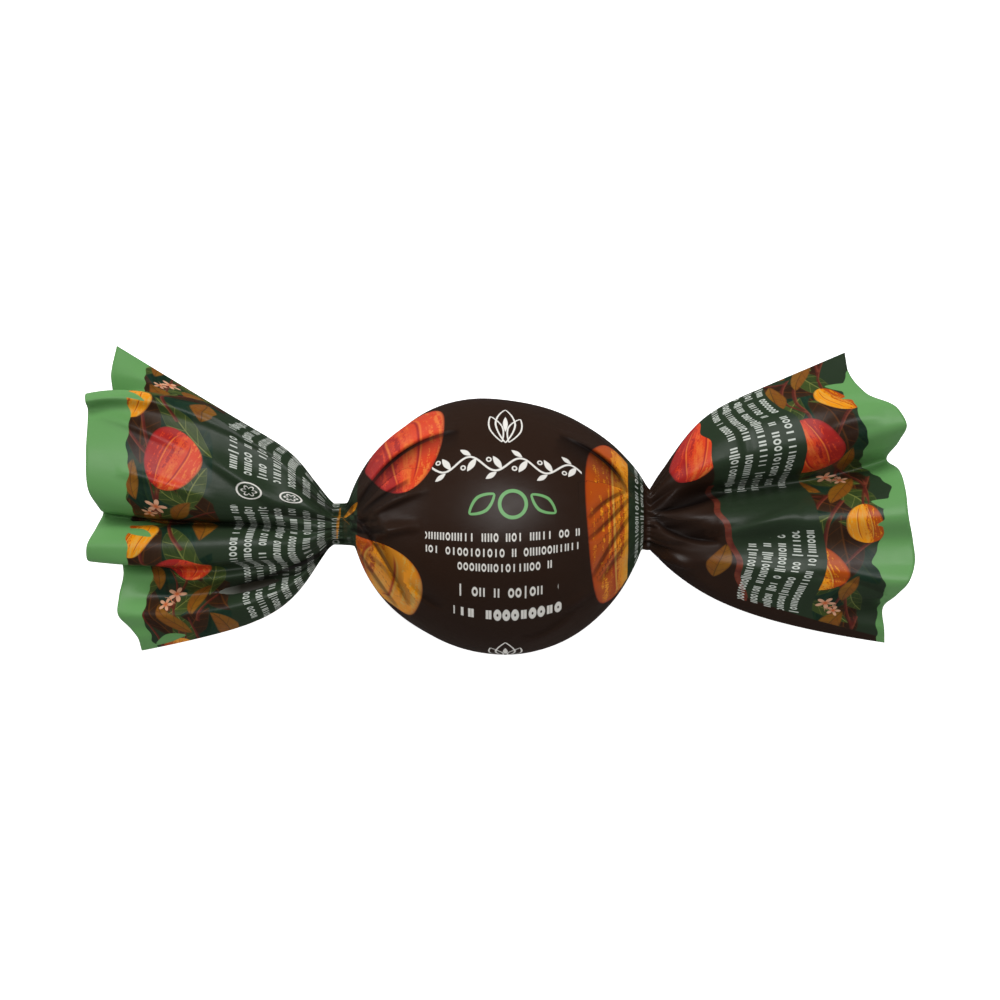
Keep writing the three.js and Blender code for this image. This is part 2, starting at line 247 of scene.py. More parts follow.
# Creases that the tight film keeps, as seen from above: from, bent past, to, then the widths of the
# left and right flank, the height and how dark the painted shadow at the crease's foot is. A narrow
# flank beside a wide one is one layer on another.
CREASES = [
    (-16.9, -1.1, -11.7, 5.4, -4.5, 8.2, 1.6, 0.4, 1.15, 1.0),
    (-16.1, -1.4, -13.6, 0.6, -10.4, 2.5, 0.6, 0.32, 0.45, 0.8),
    (-14.7, -1.7, -11.8, -0.1, -8.0, 1.3, 0.8, 0.4, 0.55, 0.45),
    (-17.5, -2.3, -15.9, -2.5, -13.8, -2.2, 1.1, 0.6, -0.8, 0.8),
    (-17.0, -3.3, -15.4, -3.7, -12.8, -3.5, 1.0, 0.7, -1.3, 0.9),
    (-15.7, -4.7, -12.4, -3.5, -8.9, -3.0, 0.7, 0.5, 0.6, 0.3),
    (-18.4, -0.8, -14.5, -5.2, -10.6, -12.4, 0.34, 1.8, 1.15, 0.9),
    (-16.4, -5.6, -14.1, -9.0, -11.7, -12.4, 0.35, 0.45, -0.5, 0.65),
    (-15.4, -6.1, -12.9, -8.0, -11.5, -10.5, 0.3, 0.6, -0.35, 0.45),
    (-10.3, -9.1, -8.3, -11.2, -6.3, -12.2, 0.8, 0.4, -0.4, 0.35),
    (6.7, 7.7, 12.2, 4.8, 15.1, 0.8, 2.0, 0.38, 1.4, 1.0),
    (14.9, 1.1, 12.1, -0.2, 10.0, -2.2, 0.4, 0.34, -0.45, 0.7),
    (15.0, 0.3, 12.5, -2.3, 9.9, -4.6, 0.4, 0.34, -0.45, 0.7),
    (15.0, -1.8, 12.6, -5.2, 10.5, -8.9, 0.4, 0.34, -0.5, 0.7),
    (14.9, -4.4, 13.1, -6.9, 11.4, -9.4, 0.45, 0.34, -0.45, 0.6),
    (2.3, -16.2, 5.8, -15.3, 9.4, -12.1, 0.5, 0.6, 0.55, 0.25),
    (6.6, -12.7, 8.6, -11.8, 10.7, -10.1, 0.6, 0.4, 0.4, 0.25),
    (17.5, -1.3, 21.5, -0.7, 26.4, 0.8, 2.2, 0.36, -1.5, 1.0),
    (17.8, -1.8, 20.7, -4.0, 25.4, -4.7, 1.9, 0.36, -1.5, 0.9),
    (24.9, -0.1, 28.2, 0.2, 33.4, 1.5, 1.2, 0.7, -0.45, 0.2),
    (24.4, -4.7, 30.0, -2.8, 34.8, -1.0, 0.6, 1.3, 0.5, 0.15),
    (18.9, -5.6, 21.9, -8.4, 26.3, -11.4, 0.8, 0.8, 0.45, 0.15),
    (-19.7, -4.8, -22.5, -7.2, -33.0, -11.0, 0.9, 0.6, -1.0, 0.95),
    (-18.9, -2.3, -23.0, -2.0, -27.3, -1.3, 0.5, 0.8, -0.6, 0.6),
    (-18.6, -1.5, -20.9, -0.1, -23.9, 2.5, 0.6, 0.5, -0.45, 0.5),
    (-34.9, 10.6, -32.8, 9.8, -29.6, 7.6, 0.5, 0.45, 0.36, 0.15),
    (-33.9, 5.0, -30.1, 2.5, -24.6, -1.2, 1.1, 0.6, 0.55, 0.15),
    (-46.0, 10.0, -41.4, 8.2, -35.6, 5.4, 0.6, 0.5, 0.34, 0.1),
    (-43.9, 3.4, -38.5, 1.8, -32.7, -0.1, 0.6, 0.5, 0.32, 0.1),
    (34.6, -8.7, 40.3, -9.3, 44.7, -10.9, 0.7, 0.7, -0.42, 0.3),
    (37.1, 7.7, 40.3, 9.1, 44.2, 9.6, 0.8, 0.8, 0.36, 0.1),
    (26.5, 12.0, 27.9, 8.5, 28.6, 3.4, 0.6, 0.5, 0.26, 0.05),
]
CREASE_STEPS, CREASE_ENDS, CREASE_FOOT, SHADOW_REACH = 41, 0.7, 1.3, 1.4
FAR = 9.0  # off every crease and outside every printed shape
# Gathers that fade out from the twists: how many go round, their height and how far they reach.
FINE_GATHERS = [(31, 0.05, 2.0), (17, 0.09, 7.0)]


def crease_relief(points):
    """How far the creases lift or sink each point, for points seen from above, and the shadow at
    the foot of the nearest crease: how far off its middle is, how dark it is, how far it reaches."""
    lift = np.zeros(points.shape[:-1])
    off_line = np.full(points.shape[:-1], FAR)
    darkness = np.zeros(points.shape[:-1])
    shadow_reach = np.ones(points.shape[:-1])
    along_crease = np.linspace(0, 1, CREASE_STEPS)
    for x0, y0, x1, y1, x2, y2, left_flank, right_flank, height, dark in CREASES:
        # The bend point lies on the crease, so the curve's own control point is beyond it.
        start, bend, end = np.array([x0, y0]), np.array([x1, y1]), np.array([x2, y2])
        control = 2 * bend - 0.5 * (start + end)
        t = along_crease[:, None]
        path = (1 - t) ** 2 * start + 2 * t * (1 - t) * control + t * t * end
        reach = 3 * max(left_flank, right_flank)
        low, high = path.min(axis=0) - reach, path.max(axis=0) + reach
        near = np.all((points[..., :2] > low) & (points[..., :2] < high), axis=-1)
        gaps = points[near][:, None, :2] - path[None]
        closest = np.linalg.norm(gaps, axis=-1).argmin(axis=1)
        gap = gaps[np.arange(len(closest)), closest]
        heading = np.gradient(path, axis=0)[closest]
        heading = heading / np.linalg.norm(heading, axis=-1, keepdims=True)
        across = heading[:, 0] * gap[:, 1] - heading[:, 1] * gap[:, 0]
        beyond = np.abs(heading[:, 0] * gap[:, 0] + heading[:, 1] * gap[:, 1])
        beyond = np.where((closest == 0) | (closest == len(path) - 1), beyond, 0)
        width = np.where(across > 0, left_flank, right_flank)
        ends = np.sin(PI * along_crease[closest]).clip(0) ** CREASE_ENDS
        lift[near] += height * ends * np.exp(-((across / width) ** 2) - beyond ** 2)
        # The shadow reaches away from a ridge's steep flank, or up a valley's gentle one.
        steep_side = 1 if left_flank < right_flank else -1
        foot = CREASE_FOOT * min(left_flank, right_flank) if height > 0 else 0
        off_foot = steep_side * across - foot if height > 0 else -steep_side * across
        nearer = np.abs(off_foot) + beyond < np.abs(off_line[near])
        off_line[near] = np.where(nearer, off_foot, off_line[near])
        dark_share = ends ** 0.4 * (beyond < 0.1) * dark
        darkness[near] = np.where(nearer, dark_share, darkness[near])
        flank_reach = SHADOW_REACH * max(left_flank, right_flank)
        shadow_reach[near] = np.where(nearer, flank_reach, shadow_reach[near])
    return lift, off_line, darkness, shadow_reach


# ---- The film's mesh: rings along it, columns round it. It runs from the inside of the left fan
# over its cut edge, past the truffle, to the inside of the right fan.
FRONT_COLUMNS, BACK_COLUMNS = 196, 90
BODY_RINGS, FAN_RINGS, POUCH_RINGS = 120, 88, 16
COLUMNS = FRONT_COLUMNS + BACK_COLUMNS
# A pouch ends close to its twist. Its inner face draws back from the creases on the way there, by
# this many millimetres, but never past this share of the room between the fan's two sheets.
POUCH_FLOOR, POUCH_ROOM, POUCH_ROOM_SHARE = 0.12, 2.4, 0.4
CREASED_FROM, CREASED_OVER = 0.8, 0.15
A_STEP_IN = 0.004  # a small step of share, for the film's heading

angles = np.concatenate([
    np.linspace(0, PI, FRONT_COLUMNS, endpoint=False),
    np.linspace(PI, 2 * PI, BACK_COLUMNS, endpoint=False),
])[None, :]
fan_shares = np.linspace(0, 1, FAN_RINGS + 1)[:, None]
pouch_shares = np.linspace(1, POUCH_FLOOR, POUCH_RINGS + 1)[:, None]

# Rings over the truffle keep an even distance along the film.
trial_x = np.linspace(BODY_LEFT, BODY_RIGHT, 2000)[:, None]
trial = body_points(np.array([[0.5 * PI]]), trial_x)[:, 0]
trial_length = np.concatenate([[0], np.cumsum(np.linalg.norm(np.diff(trial, axis=0), axis=-1))])
BODY_FILM = trial_length[-1]
body_along = np.linspace(0, BODY_FILM, BODY_RINGS + 1)
body_x = np.interp(body_along, trial_length, trial_x[:, 0])[:, None]


def with_relief(points, from_twist):
    """The creases, and the fine gathers close to a twist, on the outer face of the film."""
    for count, high, fade in FINE_GATHERS:
        ripple = high * np.exp(-from_twist / fade) * np.sin(count * angles + 1.5 * np.sin(3 * angles))
        points[..., 1] += ripple * np.cos(angles)
        points[..., 2] += ripple * np.sin(angles)
    points[..., 2] += crease_relief(points)[0] * (angles < PI)
    return points


def outer_face(fan, shares):
    return with_relief(fan_points(fan, angles, shares), FAN_FILM * shares)


def inner_face(fan):
    """The inner face of a fan: it follows the outer face at the cut edge, set in by the film's
    wall, and draws back from the creases deeper in."""
    smooth_places = fan_points(fan, angles, pouch_shares)
    creased = smooth((pouch_shares[..., None] - CREASED_FROM) / CREASED_OVER)
    places = mix(smooth_places, outer_face(fan, pouch_shares), creased)
    outwards = smooth_places - fan_points(fan, angles, pouch_shares - A_STEP_IN)
    ahead = np.roll(places, -1, axis=1) - places
    back = np.roll(places, 1, axis=1) - places
    tangent = ahead / np.linalg.norm(ahead, axis=-1, keepdims=True)
    tangent = tangent - back / np.linalg.norm(back, axis=-1, keepdims=True)
    inward = fan["sign"] * np.cross(outwards, tangent)
    inward = inward / np.linalg.norm(inward, axis=-1, keepdims=True)
    opposite = fan_points(fan, np.mod(2 * PI - angles, 2 * PI), pouch_shares)
    room = np.linalg.norm(places - opposite, axis=-1, keepdims=True)
    wall = FILM_WALL + POUCH_ROOM * (1 - pouch_shares[..., None])
    wall = np.maximum(np.minimum(wall, POUCH_ROOM_SHARE * room), 0.5 * FILM_WALL)
    return places + inward * wall


body = with_relief(
    body_points(angles, body_x), np.minimum(body_along, BODY_FILM - body_along)[:, None])
left_outer, right_outer = outer_face(LEFT_FAN, fan_shares), outer_face(RIGHT_FAN, fan_shares)
neck_shares = np.array([0.25, 0.5, 0.75])
left_neck = mix(left_outer[0], body[0], neck_shares[:, None, None])
right_neck = mix(body[-1], right_outer[0], neck_shares[:, None, None])
rings = np.concatenate([
    inner_face(LEFT_FAN)[::-1], left_outer[::-1], left_neck, body,
    right_neck, right_outer, inner_face(RIGHT_FAN)])
off_crease, crease_dark, shadow_reach = crease_relief(rings)[1:]
crease_dark *= angles < PI
RING_COUNT = len(rings)

low_corner = rings.reshape(-1, 3).min(axis=0)
high_corner = rings.reshape(-1, 3).max(axis=0)
rings[..., :2] -= (0.5 * (low_corner + high_corner))[:2]
rings[..., 2] = np.maximum(rings[..., 2], 0)

index = np.arange(RING_COUNT * COLUMNS).reshape(RING_COUNT, COLUMNS)
here, ahead = index[:-1], np.roll(index[:-1], -1, axis=1)
outer_here, outer_ahead = index[1:], np.roll(index[1:], -1, axis=1)
quads = np.stack([here, ahead, outer_ahead, outer_here], axis=-1).reshape(-1, 4)
floors = [rings[0].mean(axis=0), rings[-1].mean(axis=0)]
places = np.concatenate([rings.reshape(-1, 3), floors]) * MM
first_floor = RING_COUNT * COLUMNS
floor_faces = []
for c in range(COLUMNS):
    following = (c + 1) % COLUMNS
    floor_faces.append((first_floor, following, c))
    last = (RING_COUNT - 1) * COLUMNS
    floor_faces.append((first_floor + 1, last + c, last + following))

film_mesh = bpy.data.meshes.new("film")
film_mesh.from_pydata(places.tolist(), [], quads.tolist() + floor_faces)
film_mesh.shade_smooth()
film_mesh.update()
film = bpy.data.objects.new("film", film_mesh)
bpy.context.collection.objects.link(film)

# ---- The film's print. Places on the film are counted in millimetres along it, from the middle of
# the truffle to the cut edges, and round it, from the middle of the front towards the top edge.
FILM_ROUND = 91.0
HALF_BODY = 0.5 * BODY_FILM
EDGE = HALF_BODY + FAN_FILM
LEFT_NECK, RIGHT_NECK = BODY_LEFT - LEFT_FAN["x"], RIGHT_FAN["x"] - BODY_RIGHT
along = np.concatenate([
    -EDGE - FAN_FILM * (1 - pouch_shares[::-1, 0]),
    mix(-EDGE, -HALF_BODY - LEFT_NECK, 1 - fan_shares[::-1, 0]),
    -HALF_BODY - LEFT_NECK * (1 - neck_shares),
    body_along - HALF_BODY,
    HALF_BODY + RIGHT_NECK * neck_shares,
    mix(HALF_BODY + RIGHT_NECK, EDGE, fan_shares[:, 0]),
    EDGE + FAN_FILM * (1 - pouch_shares[:, 0]),
])


def film_round(front):
    """Where each column lies round the film, when the front takes up that much of it."""
    on_back = -0.5 * front - (angles - PI) / PI * (FILM_ROUND - front)
    return np.where(angles <= PI, front * (0.5 - angles / PI), on_back)


opened_share = np.clip((np.abs(along) - HALF_BODY) / FAN_FILM, 0, 1)[:, None]
fan_round = np.where(
    along[:, None] < 0, film_round(front_length(LEFT_FAN)), film_round(front_length(RIGHT_FAN)))
around = mix(film_round(0.5 * FILM_ROUND), fan_round, smooth(opened_share / 0.3))
along = along[:, None] + 0 * around


def strip(taper, centre, turn, length, width, bend=0.0):
    """A bent strip's field: how far outside it a place is, and where along and across it, each
    from -1 to 1. Taper gives the strip's width, as a share, at each place along it."""
    da = along - centre[0]
    dr = np.mod(around - centre[1] + 0.5 * FILM_ROUND, FILM_ROUND) - 0.5 * FILM_ROUND
    c, s = np.cos(np.radians(turn)), np.sin(np.radians(turn))
    p = (da * c + dr * s) * 2 / length
    q = (dr * c - da * s - bend * (1 - p * p)) * 2 / width
    beside = (np.abs(q) - taper(np.clip(p, -1, 1))) * 0.5 * width
    beyond = (np.abs(p) - 1) * 0.5 * length
    outside = np.where(beyond > 0, np.hypot(beyond, np.maximum(beside, 0)), beside)
    return np.stack([outside, p, q], -1)


# How wide a leaf, a fruit and a stem are along their length, as a share. A fruit's ends are fuller
# than an ellipse's, and one end is wider than the other.
LEAF_FULLNESS, LEAF_TIP = 1.7, 0.9
FRUIT_FULLNESS, FRUIT_EGG, FRUIT_WIDEST = 2.6, 0.18, 1.05


def leaf(p):
    return (1 - np.abs(p) ** LEAF_FULLNESS) ** LEAF_TIP


def fruit(p):
    return np.sqrt(1 - np.abs(p) ** FRUIT_FULLNESS) * (1 + FRUIT_EGG * p) / FRUIT_WIDEST


def stem(p):
    return 1 + 0 * p


def disc(centre, radius):
    outside, p, q = np.moveaxis(strip(stem, centre, 0, 2 * radius, 2 * radius), -1, 0)
    return np.stack([(np.hypot(p, q) - 1) * radius, p, q], -1)


def nearest(shapes):
    field = np.full((*along.shape, 3), FAR)
    for shape in shapes:
        field = np.where(shape[..., :1] < field[..., :1], shape, field)
    return field


# The garland that is printed again and again round each fan: places outwards from the twist and
# round the film, then turn, length, width and bend.
REPEATS = 4
SPRIG = FILM_ROUND / REPEATS
GARLAND = {
    "shade": (leaf, [
        (15.9, 1.5, 70, 11.0, 5.4, 0.8), (19.5, 8.0, 115, 11.0, 5.0, -0.8),
        (16.5, 13.5, 60, 10.0, 4.6, 0.6), (21.0, 19.0, 100, 11.0, 5.0, 0.5),
        (23.0, 3.6, 50, 8.0, 3.6, 0.5)]),
    "brown": (leaf, [
        (21.5, 5.5, 85, 9.0, 4.2, 0.6), (16.0, 18.5, 120, 9.5, 4.0, -0.6),
        (19.4, 13.0, 40, 8.5, 3.4, 0.5), (23.4, 15.6, 95, 8.0, 3.4, 0.4)]),
    "leaf": (leaf, [
        (17.2, 6.8, 128, 8.6, 3.2, 0.7), (22.3, 11.9, 62, 8.2, 3.2, -0.7),
        (15.9, 21.6, 76, 7.6, 2.9, 0.5), (20.4, 17.2, 34, 7.2, 2.5, -0.4),
        (19.0, 20.8, 140, 6.8, 2.3, 0.5), (23.2, 8.4, 12, 5.6, 2.1, 0.3),
        (24.0, 20.0, 60, 6.0, 2.2, 0.4)]),
    "stem": (stem, [
        (18.9, 10.6, 102, 8.5, 0.60, 1.1), (21.0, 20.3, 80, 9.0, 0.55, -0.9),
        (16.6, 16.2, 40, 7.0, 0.50, 0.7), (22.4, 4.4, 135, 7.0, 0.50, 0.6),
        (24.2, 12.0, 95, 9.0, 0.50, 0.9), (20.2, 5.6, 96, 14.0, 0.60, 1.6),
        (22.2, 17.0, 78, 12.0, 0.50, -1.2)]),
    "amber": (leaf, [
        (16.2, 11.3, 96, 7.6, 3.0, -0.6), (21.6, 14.6, 118, 6.0, 2.4, 0.4),
        (18.0, 17.6, 64, 5.6, 2.0, 0.4), (22.8, 21.8, 84, 5.0, 1.8, 0.3)]),
    "gold": (fruit, [(23.0, 8.6, 84, 5.6, 4.2, 0.0)]),
    "red": (fruit, [(18.4, 2.0, 66, 7.4, 6.0, 0.2)]),
    "border": (leaf, [(23.4, 11.2, 12, 4.8, 1.6, 0.4), (23.3, 9.0, 160, 4.0, 1.3, -0.4)]),
}
BLOSSOMS = [(20.8, 18.6, 1.3), (22.0, 17.2, 0.95)]

dice = np.random.default_rng(7)
layers = {name: [] for name in (*GARLAND, "blossom", "sliver")}

for side, start in ((-1, 7.0), (1, 8.5)):
    for repeat in range(REPEATS):
        place = start + repeat * SPRIG
        for name, (taper, spots) in GARLAND.items():
            for outward, shift, turn, length, width, bend in spots:
                outward += 2.8 * (name == "border" and side > 0) + dice.uniform(-0.3, 0.3)
                centre = (side * (HALF_BODY + outward), place + shift)
                turn = -side * (turn + dice.uniform(-7, 7))
                ink_name = "gold" if name == "red" and side > 0 and repeat % 2 else name
                layers[ink_name].append(strip(taper, centre, turn, length, width, -side * bend))
        for outward, shift, radius in BLOSSOMS:
            layers["blossom"].append(disc((side * (HALF_BODY + outward), place + shift), radius))

# Fruit and leaves on the brown panel over the truffle, and where the panel runs on past a twist.
for name, centre, turn, length, width, bend in (
        ("red", (-11.3, 13.4), 96, 17.4, 10.8, -0.6), ("gold", (-14.0, -11.8), 84, 16.6, 12.0, 0.4),
        ("gold", (16.4, -1.5), 91, 36.0, 12.6, -0.8), ("red", (HALF_BODY + 6.4, 16.6), 78, 15.0, 6.8, 0.4)):
    layers[name].append(strip(fruit, centre, turn, length, width, bend))
layers["amber"].append(strip(leaf, (HALF_BODY + 8.0, -13.0), 84, 8.0, 2.7, 0.3))
for centre, turn, length, width, bend in (
        ((-19.8, 6.5), 24, 4.6, 4.4, 0.2), ((-22.8, 1.0), 89, 32.0, 0.34, 0.1),
        ((-21.6, 3.5), -60, 9.0, 0.30, 0.1)):
    layers["sliver"].append(strip(leaf, centre, turn, length, width, bend))

# The plain light green ends of the film: how wide they are at places round it.
wrapped_round = np.mod(around + 0.5 * FILM_ROUND, FILM_ROUND) - 0.5 * FILM_ROUND
left_width = np.interp(
    wrapped_round, (-32, -27, -23, -18, -14, -9, -3, 5, 18, 23, 30),
    (4.2, 1.6, 3.0, 3.9, 3.8, 4.5, 3.3, 4.5, 4.6, 4.0, 4.2))
right_width = np.interp(
    wrapped_round, (-32, -25, -23, -20, -15, -11, -6, -1, 4, 9, 14, 19, 22, 25, 32),
    (4.2, 1.6, 0.9, 0.6, 1.6, 4.4, 2.8, 1.6, 2.8, 4.0, 4.4, 2.4, 0.2, 0.2, 4.2))
ragged = 0.16 * np.sin(1.1 * around) + 0.1 * np.sin(2.9 * around + 1.0)
width = np.where(along < 0, left_width, right_width)
end_band = np.abs(np.abs(along) - EDGE) - np.where(width > 0.6, width + ragged, 2 * width - 0.6)
layers["border"].append(np.stack([end_band, along, around], -1))

# The mesh keeps these fields, so the inks below can be drawn from them.
kept = {name: nearest(shapes) for name, shapes in layers.items()}
kept["crease"] = np.stack([off_crease, crease_dark, shadow_reach], -1)
for name, field in kept.items():
    values = np.concatenate([field.reshape(-1, 3), [[FAR, 0, 0]] * len(floors)])
    attribute = film_mesh.attributes.new(name, "FLOAT_VECTOR", "POINT")
    attribute.data.foreach_set("vector", values.astype(np.float32).ravel())

# The film's own map holds the same two lengths, each from 0 to 1. The column after the last one
# keeps counting, so the map's one seam lies on the top edge.
ALONG_START, ALONG_SIZE = float(along[0, 0]), float(along[-1, 0] - along[0, 0])
ROUND_START, ROUND_SIZE = float(around.min() - 1.0), FILM_ROUND + 3.0
closed = np.concatenate([around, around[:, :1] - FILM_ROUND], axis=1)
ring_of = np.arange(RING_COUNT - 1)[:, None, None] + np.array([0, 0, 1, 1])
column_of = np.arange(COLUMNS)[None, :, None] + np.array([0, 1, 1, 0])
corner_along = (along[ring_of, 0] + 0 * column_of - ALONG_START) / ALONG_SIZE
corner_round = (closed[ring_of, column_of] - ROUND_START) / ROUND_SIZE
film_map = film_mesh.uv_layers.new(name="film")
corners = np.zeros((len(film_mesh.loops), 2), np.float32)
corners[:corner_along.size] = np.stack([corner_along.ravel(), corner_round.ravel()], -1)
film_map.data.foreach_set("uv", corners.ravel())

# ---- The film's material: inks on satin film, plain and paler on the inner face.
INKS = {
    "brown": (0.022, 0.0103, 0.006), "night_green": (0.0187, 0.0321, 0.0161),
    "shade": (0.004, 0.0147, 0.0076), "shade_light": (0.0107, 0.0321, 0.0179),
    "bark": (0.035, 0.0165, 0.007), "bark_dark": (0.0196, 0.0076, 0.0045),
    "leaf": (0.046, 0.07, 0.0143), "leaf_dark": (0.0179, 0.0339, 0.0098),
    "leaf_vein": (0.1786, 0.1964, 0.0491),
    "amber": (0.2, 0.086, 0.008), "amber_dark": (0.1786, 0.0536, 0.008),
    "amber_vein": (0.0402, 0.0214, 0.0071),
    "gold": (0.7, 0.25, 0.004), "gold_dark": (0.34, 0.03, 0.002),
    "gold_light": (0.6071, 0.3571, 0.0625),
    "red": (0.6, 0.048, 0.012), "red_dark": (0.3, 0.01, 0.013),
    "red_light": (0.72, 0.18, 0.03),
    "stem": (0.0848, 0.0143, 0.0098), "stem_light": (0.1786, 0.0411, 0.0214),
    "border": (0.1179, 0.2902, 0.092), "panel_green": (0.1518, 0.375, 0.1339),
    "cream": (0.78, 0.76, 0.71), "fine_print": (0.62, 0.66, 0.6),
    "petal": (0.6071, 0.3214, 0.1964), "petal_heart": (0.4911, 0.1071, 0.0268),
    # The inner face's pale ink, and painted shade for deep in the pouch.
    "inside": (0.375, 0.4018, 0.3482), "pouch_painted_shade": (0.02, 0.018, 0.012),
    "crease_shadow": (0.003, 0.001, 0.0005),
}

material = bpy.data.materials.new("printed_film")
material.use_nodes = True
nodes, links = material.node_tree.nodes, material.node_tree.links
nodes.clear()


def feed(socket, value):
    if isinstance(value, bpy.types.NodeSocket):
        links.new(value, socket)
    else:
        socket.default_value = value


def calc(operation, *values, clamp=False):
    made = nodes.new("ShaderNodeMath")
    made.operation = operation
    made.use_clamp = clamp
    for socket, value in zip(made.inputs, values):
        feed(socket, value)
    return made.outputs[0]


# The print is drawn with sums; scaled is a value times a factor, with an offset added.
plus, less = partial(calc, "ADD"), partial(calc, "SUBTRACT")
times, per = partial(calc, "MULTIPLY"), partial(calc, "DIVIDE")
scaled, size_of = partial(calc, "MULTIPLY_ADD"), partial(calc, "ABSOLUTE")
higher, lower = partial(calc, "MAXIMUM"), partial(calc, "MINIMUM")


def radius_of(x, y):
    return calc("SQRT", plus(times(x, x), times(y, y)))


def point(x, y, z=0.0):
    made = nodes.new("ShaderNodeCombineXYZ")
    for socket, value in zip(made.inputs, (x, y, z)):
        feed(socket, value)
    return made.outputs[0]


def noise(place, scale, detail=2.0):
    made = nodes.new("ShaderNodeTexNoise")
    links.new(place, made.inputs["Vector"])
    made.inputs["Scale"].default_value = scale
    made.inputs["Detail"].default_value = detail
    return made.outputs["Fac"]


def over(under, ink, cover):
    """Ink laid over what is under it, where cover is 1."""
    made = nodes.new("ShaderNodeMix")
    made.data_type = "RGBA"
    feed(made.inputs[0], cover)
    for socket, layer in ((made.inputs[6], under), (made.inputs[7], ink)):
        feed(socket, (*INKS[layer], 1) if isinstance(layer, str) else layer)
    return made.outputs[2]


def within(distance, softness=0.06):
    """1 inside a shape and 0 outside it, from the distance to its edge."""
    return scaled(distance, -1 / softness, 0.5, clamp=True)


def line_at(value, half_width, softness=0.06):
    return within(less(size_of(value), half_width), softness)


def both(first, second):
    """The share covered by one mask and the other."""
    return times(first, second)


film_place = nodes.new("ShaderNodeUVMap")
film_place.uv_map = "film"
film_parts = nodes.new("ShaderNodeSeparateXYZ")
links.new(film_place.outputs[0], film_parts.inputs[0])
place_along = scaled(film_parts.outputs[0], ALONG_SIZE, ALONG_START)
place_round = scaled(film_parts.outputs[1], ROUND_SIZE, ROUND_START)
place_mm = point(place_along, place_round)
mottle = scaled(noise(place_mm, 0.8, 4.0), 2.6, -0.8, clamp=True)
grain = scaled(noise(place_mm, 4.5, 3.0), 5.0, -2.0, clamp=True)


def film_values(name):
    """Three values kept with the film. For a printed layer: how far outside its nearest shape a
    place is, where along that shape and where across it."""
    source = nodes.new("ShaderNodeAttribute")
    source.attribute_name = name
    parts = nodes.new("ShaderNodeSeparateXYZ")
    links.new(source.outputs["Vector"], parts.inputs[0])
    return parts.outputs


def brush_strokes(p, q):
    """Strokes of ink along a shape."""
    strokes = noise(point(times(p, 1.6), times(q, 9.0), mottle), 1.0, 3.0)
    return scaled(strokes, 3.6, -1.3, clamp=True)


def leaf_room(p, q):
    """Room left to a leaf's edge across it, as a share of its half width."""
    taper = less(1.0, calc("POWER", size_of(p), LEAF_FULLNESS), clamp=True)
    taper = calc("POWER", taper, LEAF_TIP)
    beyond = higher(less(size_of(p), 1.0), 0.0)
    return less(scaled(beyond, -6.0, taper), size_of(q))


def add_leaves(colour, name, ink, dark_ink, vein_ink, vein_strength, outline, vein_count=2.5):
    """Leaves in two inks with a midrib, side veins on each half and a thin outline."""
    outside, p, q = film_values(name)
    strokes = brush_strokes(p, q)
    room = leaf_room(p, q)
    cover = both(within(outside, 0.4), scaled(room, 28.0, 0.5, clamp=True))
    one_side = scaled(q, 9.0, 0.5, clamp=True)
    dark = scaled(strokes, 0.45, times(one_side, 0.4), clamp=True)
    tone = over(ink, dark_ink, dark)
    slant = scaled(size_of(q), -0.95, times(p, vein_count))
    side_vein = line_at(less(calc("FRACT", slant), 0.5), 0.035, 0.05)
    midrib = line_at(q, 0.045, 0.04)
    rim = both(less(1.0, times(room, 11.0), clamp=True), outline)
    vein = higher(higher(midrib, both(side_vein, 0.7)), rim)
    return over(colour, over(tone, vein_ink, both(vein, vein_strength)), cover)


def add_fruit(colour, name, ink, dark_ink, light_ink):
    """A round fruit in three inks that meet in grainy edges, with two clefts beside light lines."""
    outside, p, q = film_values(name)
    strokes = brush_strokes(p, q)
    full = calc("SQRT", less(1.0, calc("POWER", size_of(p), FRUIT_FULLNESS), clamp=True))
    taper = times(full, scaled(p, FRUIT_EGG / FRUIT_WIDEST, 1 / FRUIT_WIDEST))
    room = less(taper, size_of(q))
    cover = both(within(outside, 0.4), scaled(room, 45.0, 0.5, clamp=True))
    segment = per(q, higher(taper, 0.08))
    rough = plus(times(strokes, 0.85), times(grain, 0.25))
    lit = less(line_at(plus(segment, 0.12), 0.2, 0.3), times(rough, 1.1), clamp=True)
    lit = higher(lit, scaled(plus(segment, rough), -4.0, -0.9, clamp=True))
    shaded = scaled(plus(segment, rough), 4.0, -3.2, clamp=True)
    shaded = higher(shaded, less(line_at(less(segment, 0.3), 0.09, 0.2), rough))
    tone = over(ink, light_ink, times(lit, 0.8))
    tone = over(tone, dark_ink, times(shaded, 0.85))
    short = scaled(size_of(p), -5.0, 4.4, clamp=True)
    cleft = higher(
        line_at(less(segment, 0.42), 0.03, 0.06), line_at(plus(segment, 0.38), 0.025, 0.05))
    glint = higher(
        line_at(less(segment, 0.35), 0.02, 0.04), line_at(plus(segment, 0.44), 0.02, 0.04))
    edge = less(1.0, times(room, 9.0), clamp=True)
    tone = over(tone, dark_ink, higher(both(cleft, short), times(edge, 0.6)))
    tone = over(tone, light_ink, both(times(glint, 0.8), short))
    return over(colour, tone, cover)


def add_blossoms(colour):
    outside, p, q = film_values("blossom")
    radius = radius_of(p, q)
    bearing = times(calc("ARCTAN2", q, p), 2.5)
    petal = calc("POWER", size_of(calc("COSINE", bearing)), 1.5)
    petal = less(scaled(petal, 0.75, 0.22), radius)
    tone = over("petal", "petal_heart", scaled(radius, -2.6, 1.25, clamp=True))
    return over(colour, tone, both(within(outside, 0.4), scaled(petal, 16.0, 0.5, clamp=True)))


